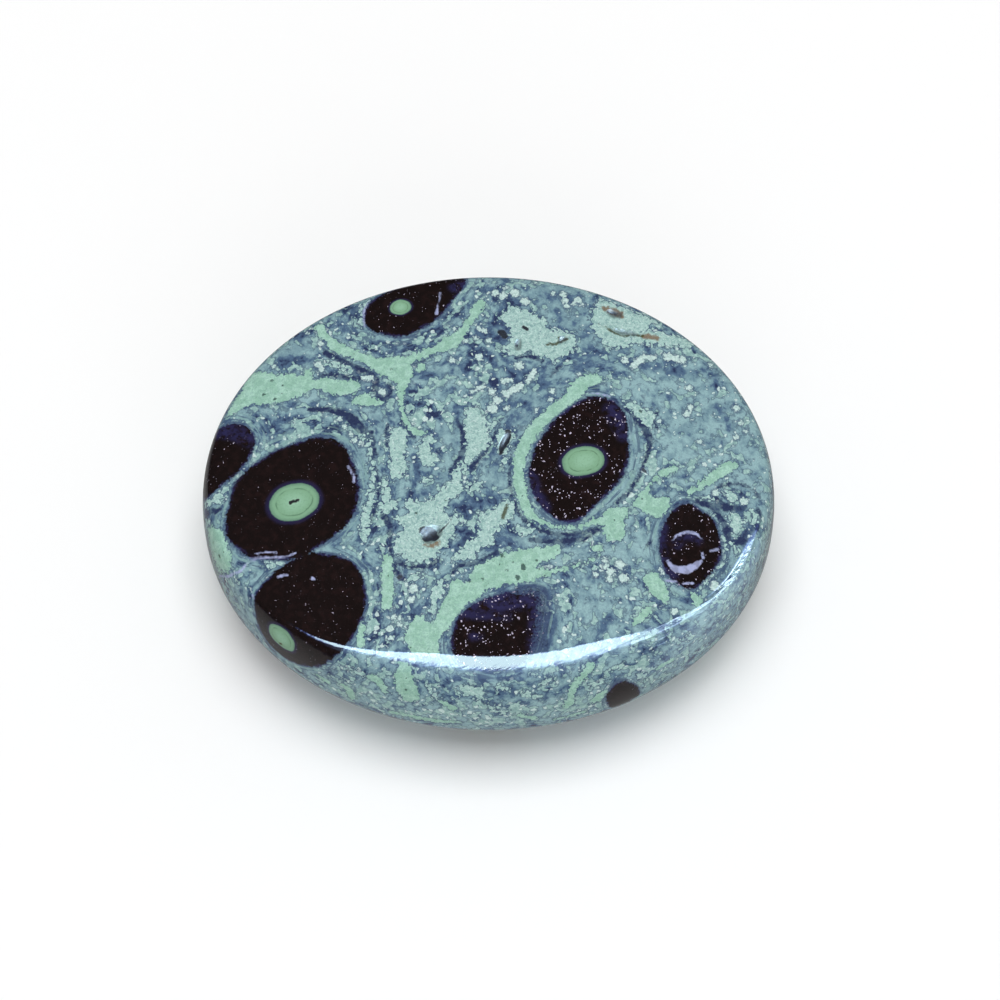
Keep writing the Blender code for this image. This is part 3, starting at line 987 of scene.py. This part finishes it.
def stone_fields():
    """What the material reads at every vertex, by name."""
    orbs = [Orb(marks) for marks in ORBS.values()]
    hidden = [hidden_orb(*marks[:4]) for marks in HIDDEN_ORBS]
    bodies = np.array([orb.body_distance() for orb in orbs] + [body for body, core in hidden])
    cores = [orb.core_share() for orb in orbs] + [core for body, core in hidden]
    specks = [marks["specks"] for marks in ORBS.values()] + [marks[4] for marks in HIDDEN_ORBS]
    hidden_mint, hidden_patch = hidden_marks(nearest(body for body, core in hidden))
    grain_share, ground_tone = ground_zones()
    return {
        "body": bodies.min(axis=0),
        "core": nearest(cores),
        "specks": np.array(specks)[bodies.argmin(axis=0)],
        "mint": nearest([outlines(MINT_OUTLINES), strokes(MINT_LINES), hidden_mint]),
        "patch": nearest([outlines(PALE_OUTLINES), strokes(PALE_LINES), hidden_patch]),
        "grain": nearest([dots(GRAINS), strokes(LONG_GRAINS)]),
        "dark": strokes(DARK_LINES),
        "dots": dots(GREEN_DOTS),
        "grain_share": grain_share,
        "ground_tone": ground_tone,
        "lavender": strokes(LAVENDER_LINES),
        "black": strokes(BLACK_LINES),
        "olive": strokes(OLIVE_LINES),
        "rust": strokes(RUST_LINES),
        "indigo": soft_share(strokes(INDIGO_LINES), INDIGO_SOFTNESS),
        "blur": soft_share(strokes(BLURRED_EDGES), BLUR_SOFTNESS),
        "brushed": brushed_share(),
        "pit": pit_shade_share(),
    }


# Materials

MIX_SHARE, MIX_FIRST, MIX_SECOND, MIX_RESULT = 0, 6, 7, 2  # sockets of a Mix node for colours


class Value:
    """An output of a node, which can be added, subtracted and multiplied as a number can."""

    def __init__(self, nodes, socket):
        self.nodes, self.socket = nodes, socket

    def __add__(self, other):
        return self.nodes.math("ADD", self, other)

    def __sub__(self, other):
        return self.nodes.math("SUBTRACT", self, other)

    def __rsub__(self, other):
        return self.nodes.math("SUBTRACT", other, self)

    def __mul__(self, other):
        return self.nodes.math("MULTIPLY", self, other)

    __radd__, __rmul__ = __add__, __mul__

    def beside(self, output):
        """Another output of the same node."""
        return Value(self.nodes, self.socket.node.outputs[output])


class Nodes:
    """Writes the node tree of a material or light, one short call for each node."""

    def __init__(self, owner, shader="Principled BSDF"):
        owner.use_nodes = True
        self.tree = owner.node_tree
        self.inputs = self.tree.nodes[shader].inputs

    def feed(self, socket, value):
        """Link a value to an input, or set the input where it is a plain number or colour."""
        if isinstance(value, Value):
            self.tree.links.new(value.socket, socket)
        else:
            socket.default_value = value

    def node(self, kind, output, inputs=(), **settings):
        """An output of a new node with its settings, and its inputs given by name or number."""
        made = self.tree.nodes.new("ShaderNode" + kind)
        for name, value in settings.items():
            setattr(made, name, value)
        for name, value in dict(inputs).items():
            self.feed(made.inputs[name], value)
        return Value(self, made.outputs[output])

    def math(self, operation, first, second=0.0):
        return self.node("Math", 0, {0: first, 1: second}, operation=operation)

    def vector(self, operation, place, other):
        second = "Scale" if operation == "SCALE" else 1
        return self.node("VectorMath", 0, {0: place, second: other}, operation=operation)

    def step(self, value, low, high):
        """0 at low, 1 at high and a soft step between; low may be the larger of the two."""
        inputs = {"Value": value, "From Min": low, "From Max": high}
        return self.node("MapRange", "Result", inputs, interpolation_type="SMOOTHSTEP")

    def mix(self, share, first, second):
        """Colour from first, at share 0, to second, at share 1."""
        inputs = {MIX_SHARE: share, MIX_FIRST: first, MIX_SECOND: second}
        return self.node("Mix", MIX_RESULT, inputs, data_type="RGBA")

    def over(self, colour, top, value, low, high, strength=None):
        """Colour with top laid over it, where value goes from low, not at all, to high, in full."""
        share = self.step(value, low, high)
        return self.mix(share if strength is None else share * strength, colour, top)


SLATE_LIGHT = srgb(150, 184, 188)
SLATE = srgb(121, 153, 163)
SLATE_DEEP = srgb(82, 107, 134)
NAVY = srgb(42, 50, 82)
BLACK_BROWN = srgb(25, 19, 19)
BLACK_WARM = srgb(34, 24, 24)
INDIGO = srgb(47, 46, 84)
PALE_DEEP = srgb(140, 176, 172)
PALE = srgb(172, 206, 199)
PALE_WHITE = srgb(210, 233, 228)
MINT_DEEP = srgb(124, 166, 144)
MINT = srgb(150, 193, 173)
MINT_LIGHT = srgb(170, 211, 194)
DARK_GREEN = srgb(46, 70, 62)
CORE_GREEN = srgb(125, 166, 136)
CORE_LIGHT = srgb(140, 182, 154)
CORE_EDGE = srgb(108, 146, 122)
CORE_LINE = srgb(72, 104, 80)
SPECK = srgb(206, 198, 222)
LAVENDER = srgb(150, 168, 214)
OLIVE = srgb(72, 74, 38)
RUST = srgb(122, 86, 44)

STONE_IOR = 1.54
POLISH_ROUGHNESS = 0.06
MARKS_STRETCH = (0.12, 2.2, 2.2)  # polishing marks: features per millimetre along and across them
MARKS_TURN = math.radians(-30.0)
MARKS_DEPTH = 0.22 * MM


def between(first, second, share):
    """Colour that is this share of the way from the first to the second."""
    return tuple(a + (b - a) * share for a, b in zip(first, second))


class Jasper(Nodes):
    """Polished kambaba jasper, painted mark over mark.

    Noise and cells are given their scale in features per millimetre. A field is mostly a distance in
    millimetres from the edge of the marks of its name.
    """

    def __init__(self, material):
        super().__init__(material)
        self.scaled = self.vector("SCALE", self.node("TexCoord", "Object"), 1.0 / MM)
        self.place = self.scaled
        self.place = self.moved(0.9, 0.7)
        self.colour = SLATE

        # What makes the edges of drawn marks lumpy, frayed and broken
        self.lump = (0.45 - self.cells(2.0)[0]) * 0.9
        self.knob = (0.45 - self.cells(3.6)[0]) * 0.4
        self.fray = (self.noise(2.6, 3.0, 0.6) - 0.5) * 0.9
        self.fine = self.noise(5.0, 2.0, 0.6)
        self.broken = self.step(self.noise(1.0), 0.38, 0.55)

    def field(self, name):
        """A number kept at the vertices."""
        return self.node("Attribute", "Fac", attribute_name=name)

    def noise(self, scale, detail=2.0, roughness=0.5, place=None):
        inputs = {"Vector": place or self.place, "Scale": scale, "Detail": detail, "Roughness": roughness}
        return self.node("TexNoise", "Fac", inputs)

    def streaks(self, across, scale, detail, roughness=0.55, place=None):
        """Noise that runs along the lines of equal distance across."""
        inputs = {"Vector": place or self.place, "W": across, "Scale": scale, "Detail": detail}
        return self.node("TexNoise", "Fac", inputs | {"Roughness": roughness}, noise_dimensions="4D")

    def moved(self, scale, reach):
        """The place shaken by noise, by up to half of reach each way."""
        shake = self.noise(scale).beside("Color")
        shake = self.vector("SUBTRACT", shake, (0.5, 0.5, 0.5))
        return self.vector("ADD", self.place, self.vector("SCALE", shake, reach))

    def cells(self, scale, place=None):
        """Distance from the middle of the nearest cell, and a random number of that cell."""
        distance = self.node("TexVoronoi", "Distance", {"Vector": place or self.place, "Scale": scale})
        return distance, self.node("SeparateColor", "Red", {"Color": distance.beside("Color")})

    def most(self, first, second):
        return self.math("MAXIMUM", first, second)

    def paint(self, top, value, low, high, strength=None):
        """Lay a colour over all that is painted so far, as over does."""
        self.colour = self.over(self.colour, top, value, low, high, strength)

    def paint_ground(self):
        """Slate with navy and pale clouds, and pale clots and grains in it."""
        share = self.field("grain_share")
        across = self.field("body") * 1.1
        flow = self.streaks(across, 0.75, 3.0, 0.6)
        tone = self.field("ground_tone") + (flow - 0.505) * (3.2 + share * 6.0)
        self.paint(SLATE_LIGHT, tone, -0.2, 0.7)
        self.paint(SLATE_DEEP, tone, -0.1, -0.6)
        self.paint(NAVY, tone, -0.6, -1.2)

        # Clots, each with a thin navy edge
        edge = between(SLATE_DEEP, NAVY, 0.6)
        share = share + (self.noise(0.3) - 0.5) * (share * 1.6)
        clot = self.streaks(across * 0.5, 1.0, 3.0, 0.52) + (share * 0.17 - 0.655)
        clot_colour = self.over(PALE_DEEP, PALE, self.noise(2.2, 3.0, 0.6), 0.4, 0.62)
        self.paint(edge, clot, -0.09, -0.02, 0.6)
        self.paint(clot_colour, clot, -0.022, 0.02)

        # Grains
        distance, picked = self.cells(1.7, self.moved(2.6, 0.45))
        grain = (0.06 + share * 0.5) * (picked * (picked + 0.15)) - distance
        self.paint(edge, grain, -0.16, -0.04, 0.35)
        self.paint(PALE_WHITE, grain, -0.05, 0.05, 0.9)
        self.crust = self.most(self.step(clot, -0.022, 0.02), self.step(grain, -0.05, 0.05))

        # Fine rings in the halo of each orb
        rings = self.streaks(self.field("body") * 2.6, 1.0, 2.0, place=self.vector("SCALE", self.place, 0.3))
        halo = self.step(self.field("body"), 2.2, 0.6) * 0.75
        self.paint(PALE_DEEP, rings, 0.53, 0.62, halo)
        self.paint(between(SLATE_DEEP, NAVY, 0.5), rings, 0.47, 0.38, halo)

    def paint_lines_and_grains(self):
        """Dark lines, and single pale grains with a navy ring."""
        self.paint(NAVY, self.field("dark") + self.fray * 0.8, 0.2, -0.08, 0.6 + self.broken * 0.4)
        grain = self.field("grain") - self.knob + self.fray * 0.4
        self.paint(between(SLATE_DEEP, NAVY, 0.5), grain, 0.42, 0.05, 0.75)
        self.paint(self.over(PALE, PALE_WHITE, self.fine, 0.3, 0.6), grain, 0.12, -0.06, 0.95)

    def paint_patches(self):
        """Pale granular patches."""
        patch = self.field("patch") - (self.lump + self.knob) + self.fray * 0.6
        pale = self.over(PALE_DEEP, PALE, self.noise(2.4, 3.0, 0.65), 0.36, 0.54)
        pale = self.over(pale, PALE_WHITE, self.fine, 0.52, 0.66, 0.65)
        pale = self.over(pale, SLATE_DEEP, self.noise(3.6, 1.0), 0.67, 0.74, 0.7)
        self.paint(between(SLATE_DEEP, NAVY, 0.65), patch, 0.34, 0.03, 0.85)
        self.paint(pale, patch, 0.04, -0.05)

    def paint_mint(self):
        """Smooth mint bands with dark-green dots."""
        mint = self.field("mint") - (self.lump * 0.35 + self.knob) + self.fray * 0.7
        green = self.over(MINT, MINT_LIGHT, self.noise(1.3, 3.0, 0.6), 0.4, 0.62)
        green = self.over(green, MINT_DEEP, self.fine, 0.56, 0.7, 0.6)
        hole, picked = self.cells(1.7)
        hole = hole + (1.0 - self.step(picked, 0.72, 0.9))
        green = self.over(green, DARK_GREEN, hole, 0.2, 0.12, 0.75)
        self.paint(between(SLATE_DEEP, NAVY, 0.5), mint, 0.28, 0.03, 0.45 + self.broken * 0.45)
        self.paint(green, mint, 0.04, -0.05)
        self.paint(DARK_GREEN, self.field("dots") + self.fray * 0.7 + 0.06, 0.1, -0.05, 0.85)

    def paint_orbs(self):
        """Orb bodies, with a granular edge and an indigo fringe, and the specks in them."""
        blur = self.field("blur")
        body = self.field("body") + self.knob * 0.6 + self.fray * 0.7
        self.paint(between(SLATE_DEEP, INDIGO, 0.5), body, 0.35 + blur * 1.2, 0.02, 0.8)
        black = self.over(BLACK_BROWN, BLACK_WARM, self.noise(1.4, 3.0), 0.45, 0.7)
        haze = self.field("indigo") * self.step(self.noise(1.2, 3.0, 0.6), 0.3, 0.6) * 0.85
        edge_haze = self.step(body, -0.45, -0.05) * self.step(self.noise(0.9, 3.0), 0.4, 0.65)
        black = self.mix(self.most(haze, edge_haze), black, INDIGO)
        soft_body = body + (self.fine - 0.5) * 5.0 * blur
        self.inside = self.step(soft_body, 0.06 + blur * 0.6, -0.12 + blur * -1.5)
        self.colour = self.mix(self.inside, self.colour, black)

        # Specks, few and many, small and large
        specks = self.field("specks")
        crowd = self.step(self.noise(0.8), 0.3, 0.65)
        small, small_picked = self.cells(3.6, self.moved(5.0, 0.12))
        large, large_picked = self.cells(1.9, self.moved(3.0, 0.3))
        small = specks * crowd * (small_picked * 0.42) - small
        large = (0.25 + specks) * self.step(large_picked, 0.74, 1.0) * 0.2 - large
        share = self.step(self.most(small, large), -0.05, 0.05) * self.inside * (0.45 + small_picked * 0.5)
        self.colour = self.mix(share, self.colour, SPECK)

    def paint_cores(self):
        """Cores: an indigo rim, a darker edge, a thin dark ring and a paler middle."""
        core = self.field("core") + (self.fine - 0.5) * 0.06
        ring = self.math("ABSOLUTE", core - 0.73)
        middle = self.over(CORE_GREEN, CORE_LIGHT, core, 0.75, 0.2)
        middle = self.over(middle, CORE_EDGE, self.fine, 0.5, 0.7, 0.4)
        middle = self.over(middle, CORE_EDGE, core, 0.84, 0.98)
        middle = self.over(middle, CORE_LINE, ring, 0.05, 0.01, 0.1 + self.broken * 0.5)
        self.paint(INDIGO, core, 1.3, 1.04, 0.6)
        self.paint(middle, core, 1.05, 0.97)

    def paint_openings(self):
        """Lavender lines, stains, painted shade in the pits, openings, and the fine crystalline texture of
        it all.
        """
        lavender = self.mix(self.fine * 0.6, LAVENDER, SPECK)
        self.paint(lavender, self.field("lavender") + self.fray * 0.35, 0.07, -0.1, 0.6 + self.broken * 0.3)
        self.paint(RUST, self.field("rust") + self.fray * 0.9, 0.15, -0.15, 0.8)
        self.paint(OLIVE, self.field("olive") + self.fray * 0.4, 0.08, -0.08, 0.9)
        # Painted shade: each pit darkens towards black brown with its depth
        self.colour = self.mix(self.field("pit") * 0.6, self.colour, BLACK_BROWN)
        self.opening = self.field("black") + self.fray * 0.6
        self.paint(BLACK_BROWN, self.opening, 0.06, -0.08)
        dull = (1.0 - self.step(self.noise(6.0, 2.0, 0.7), 0.3, 0.7)) * 0.28 * (1.0 - self.inside)
        self.colour = self.mix(dull, self.colour, between(SLATE_DEEP, NAVY, 0.5))

    def polish(self):
        """Nearly a mirror, duller in grains and openings, with fine marks on the right shoulder."""
        rotated = self.node("Mapping", 0, {"Vector": self.scaled, "Rotation": (0.0, 0.0, MARKS_TURN)})
        marks = self.noise(1.0, 3.0, 0.6, self.vector("MULTIPLY", rotated, MARKS_STRETCH))
        brushed = self.field("brushed")
        worn = self.step(marks, 0.42, 0.62) * brushed
        open_share = self.most(self.step(self.opening, 0.3, 0.0), self.field("pit"))
        rough = (POLISH_ROUGHNESS + self.crust * 0.04) + (open_share * 0.35 + worn * 0.2)
        relief = {"Strength": 1.0, "Distance": MARKS_DEPTH, "Height": marks * brushed}
        self.feed(self.inputs["Base Color"], self.colour)
        self.feed(self.inputs["Roughness"], rough)
        self.feed(self.inputs["Normal"], self.node("Bump", "Normal", relief))
        self.inputs["IOR"].default_value = STONE_IOR


def jasper_material():
    """Material of the stone."""
    material = bpy.data.materials.new("kambaba_jasper_polished")
    jasper = Jasper(material)
    jasper.paint_ground()
    jasper.paint_lines_and_grains()
    jasper.paint_patches()
    jasper.paint_mint()
    jasper.paint_orbs()
    jasper.paint_cores()
    jasper.paint_openings()
    jasper.polish()
    return material


def plain_material(name, colour, roughness):
    """One flat colour without gloss, for what isn't part of the object."""
    material = bpy.data.materials.new(name)
    inputs = Nodes(material).inputs
    inputs["Base Color"].default_value = colour
    inputs["Roughness"].default_value = roughness
    inputs["Specular IOR Level"].default_value = 0.0
    return material


# The stone, the floor, the camera and the lights

WHITE = (1.0, 1.0, 1.0)
SKY = (0.66, 0.89, 1.0)
BLUE = (0.42, 0.6, 1.0)
WORLD_STRENGTH = 0.44
FLOOR_HALF = 3000.0
FLOOR_WHITE = (0.9, 0.9, 0.9, 1.0)
FLOOR_ROUGHNESS = 0.9
NEAREST_SEEN = 10.0  # what is nearer to the camera doesn't show

# Azimuth and elevation in degrees, distance, width and height, brightness, colour, and what shows it.
# The bright ones stand high or are narrow, so that from behind they don't turn the whole face white
SOFTBOXES = {
    "ceiling": (90, 88, 1000, (600, 600), 6.3, WHITE, "shade"),
    "front_fill": (-80, 25, 900, (700, 500), 1.0, WHITE, "shade"),
    "front_strip": (-92, 47, 600, (1000, 390), 20.5, SKY, "gloss"),
    "front_glow": (-90, 22, 600, (1000, 260), 1.2, BLUE, "gloss"),
    "right_strip": (-10, 48, 600, (480, 350), 28.0, SKY, "gloss"),
    "right_glow": (-20, 14, 600, (480, 440), 4.0, SKY, "gloss"),
    "right_card": (-20, -26, 600, (620, 520), 2.5, SKY, "gloss"),
    "under_card": (-90, -89, 600, (3000, 3000), 0.25, WHITE, "gloss"),
}
SOFTBOX_FADE = 0.19  # share of a softbox's side over which it fades out
SOFTBOX_RIM = (0.22, 0.34, 1.0, 1.0)


def linked(name, data):
    """A new object in the scene."""
    made = bpy.data.objects.new(name, data)
    bpy.context.scene.collection.objects.link(made)
    return made


def add_stone():
    """The stone as one dense mesh, in place of its plain solid."""
    mesh = bpy.data.meshes.new("stone_surface")
    mesh.from_pydata((points * MM).tolist(), [], triangles.tolist())
    layer = mesh.uv_layers.new(name="OFBake")
    layer.data.foreach_set("uv", map_corners.reshape(-1))
    for name, values in stone_fields().items():
        attribute = mesh.attributes.new(name, "FLOAT", "POINT")
        attribute.data.foreach_set("value", np.clip(values, -FAR, FAR).astype(np.float32))
    mesh.shade_smooth()
    mesh.materials.append(jasper_material())
    stone = linked("stone_surface", mesh)
    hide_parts("stone")
    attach(stone, "root")


def add_floor():
    """A plain pale floor, far larger than the view and not mirrored in the polish."""
    half = FLOOR_HALF * MM
    corners = [(-half, -half, 0), (half, -half, 0), (half, half, 0), (-half, half, 0)]
    mesh = bpy.data.meshes.new("floor")
    mesh.from_pydata(corners, [], [(0, 1, 2, 3)])
    mesh.materials.append(plain_material("floor_white", FLOOR_WHITE, FLOOR_ROUGHNESS))
    floor = linked("floor", mesh)
    floor.visible_glossy = False


def add_camera():
    """The photograph's view."""
    data = bpy.data.cameras.new("camera")
    data.lens = LENS
    data.sensor_width = SENSOR
    data.clip_start = NEAREST_SEEN * MM
    camera = linked("camera", data)
    camera.location = EYE_POINT * MM
    camera.rotation_euler = (0.5 * math.pi - CAMERA_ELEVATION, 0.0, 0.0)
    bpy.context.scene.camera = camera


def soften(light, colour):
    """Fade a light out towards its edges, from its colour to the rim's."""
    n = Nodes(light, "Emission")
    place = n.node("SeparateXYZ", "X", {0: n.node("NewGeometry", "Parametric")})
    from_middle = [n.math("ABSOLUTE", side - 0.5) for side in (place, place.beside("Y"))]
    across, up = (n.step(distance, 0.5, 0.5 - SOFTBOX_FADE) for distance in from_middle)
    share = across * up
    n.feed(n.inputs["Color"], n.over(SOFTBOX_RIM, (*colour, 1.0), share, 0.3, 0.95))
    n.feed(n.inputs["Strength"], share)


def add_softbox(name, azimuth, elevation, distance, size, brightness, colour, seen_in):
    """An oblong light that faces the stone and shows in its shade alone, or in its gloss alone.

    A brightness of 1 is a white floor in full light.
    """
    data = bpy.data.lights.new(name, "AREA")
    data.shape = "RECTANGLE"
    data.size, data.size_y = (side * MM for side in size)
    data.energy = brightness * math.pi * data.size * data.size_y
    light = linked(name, data)
    away = direction(azimuth, elevation)
    light.location = (away * distance + Vector((0.0, 0.0, 0.5 * HEIGHT))) * MM
    light.rotation_euler = away.to_track_quat("Z", "Y").to_euler()
    light.visible_glossy = seen_in == "gloss"
    light.visible_diffuse = seen_in == "shade"
    if seen_in == "gloss":
        soften(data, colour)
    else:
        data.color = colour


def add_lights():
    """Plain soft studio light: a pale world, a ceiling, a fill, and softboxes for the polish alone."""
    world = bpy.data.worlds.new("studio")
    bpy.context.scene.world = world
    world.use_nodes = True
    background = world.node_tree.nodes["Background"]
    background.inputs["Color"].default_value = (*WHITE, 1.0)
    background.inputs["Strength"].default_value = WORLD_STRENGTH
    world.cycles_visibility.glossy = False
    for name, placing in SOFTBOXES.items():
        add_softbox(name, *placing)


bpy.context.scene.view_settings.view_transform = "Standard"
add_camera()
add_floor()
add_stone()
add_lights()
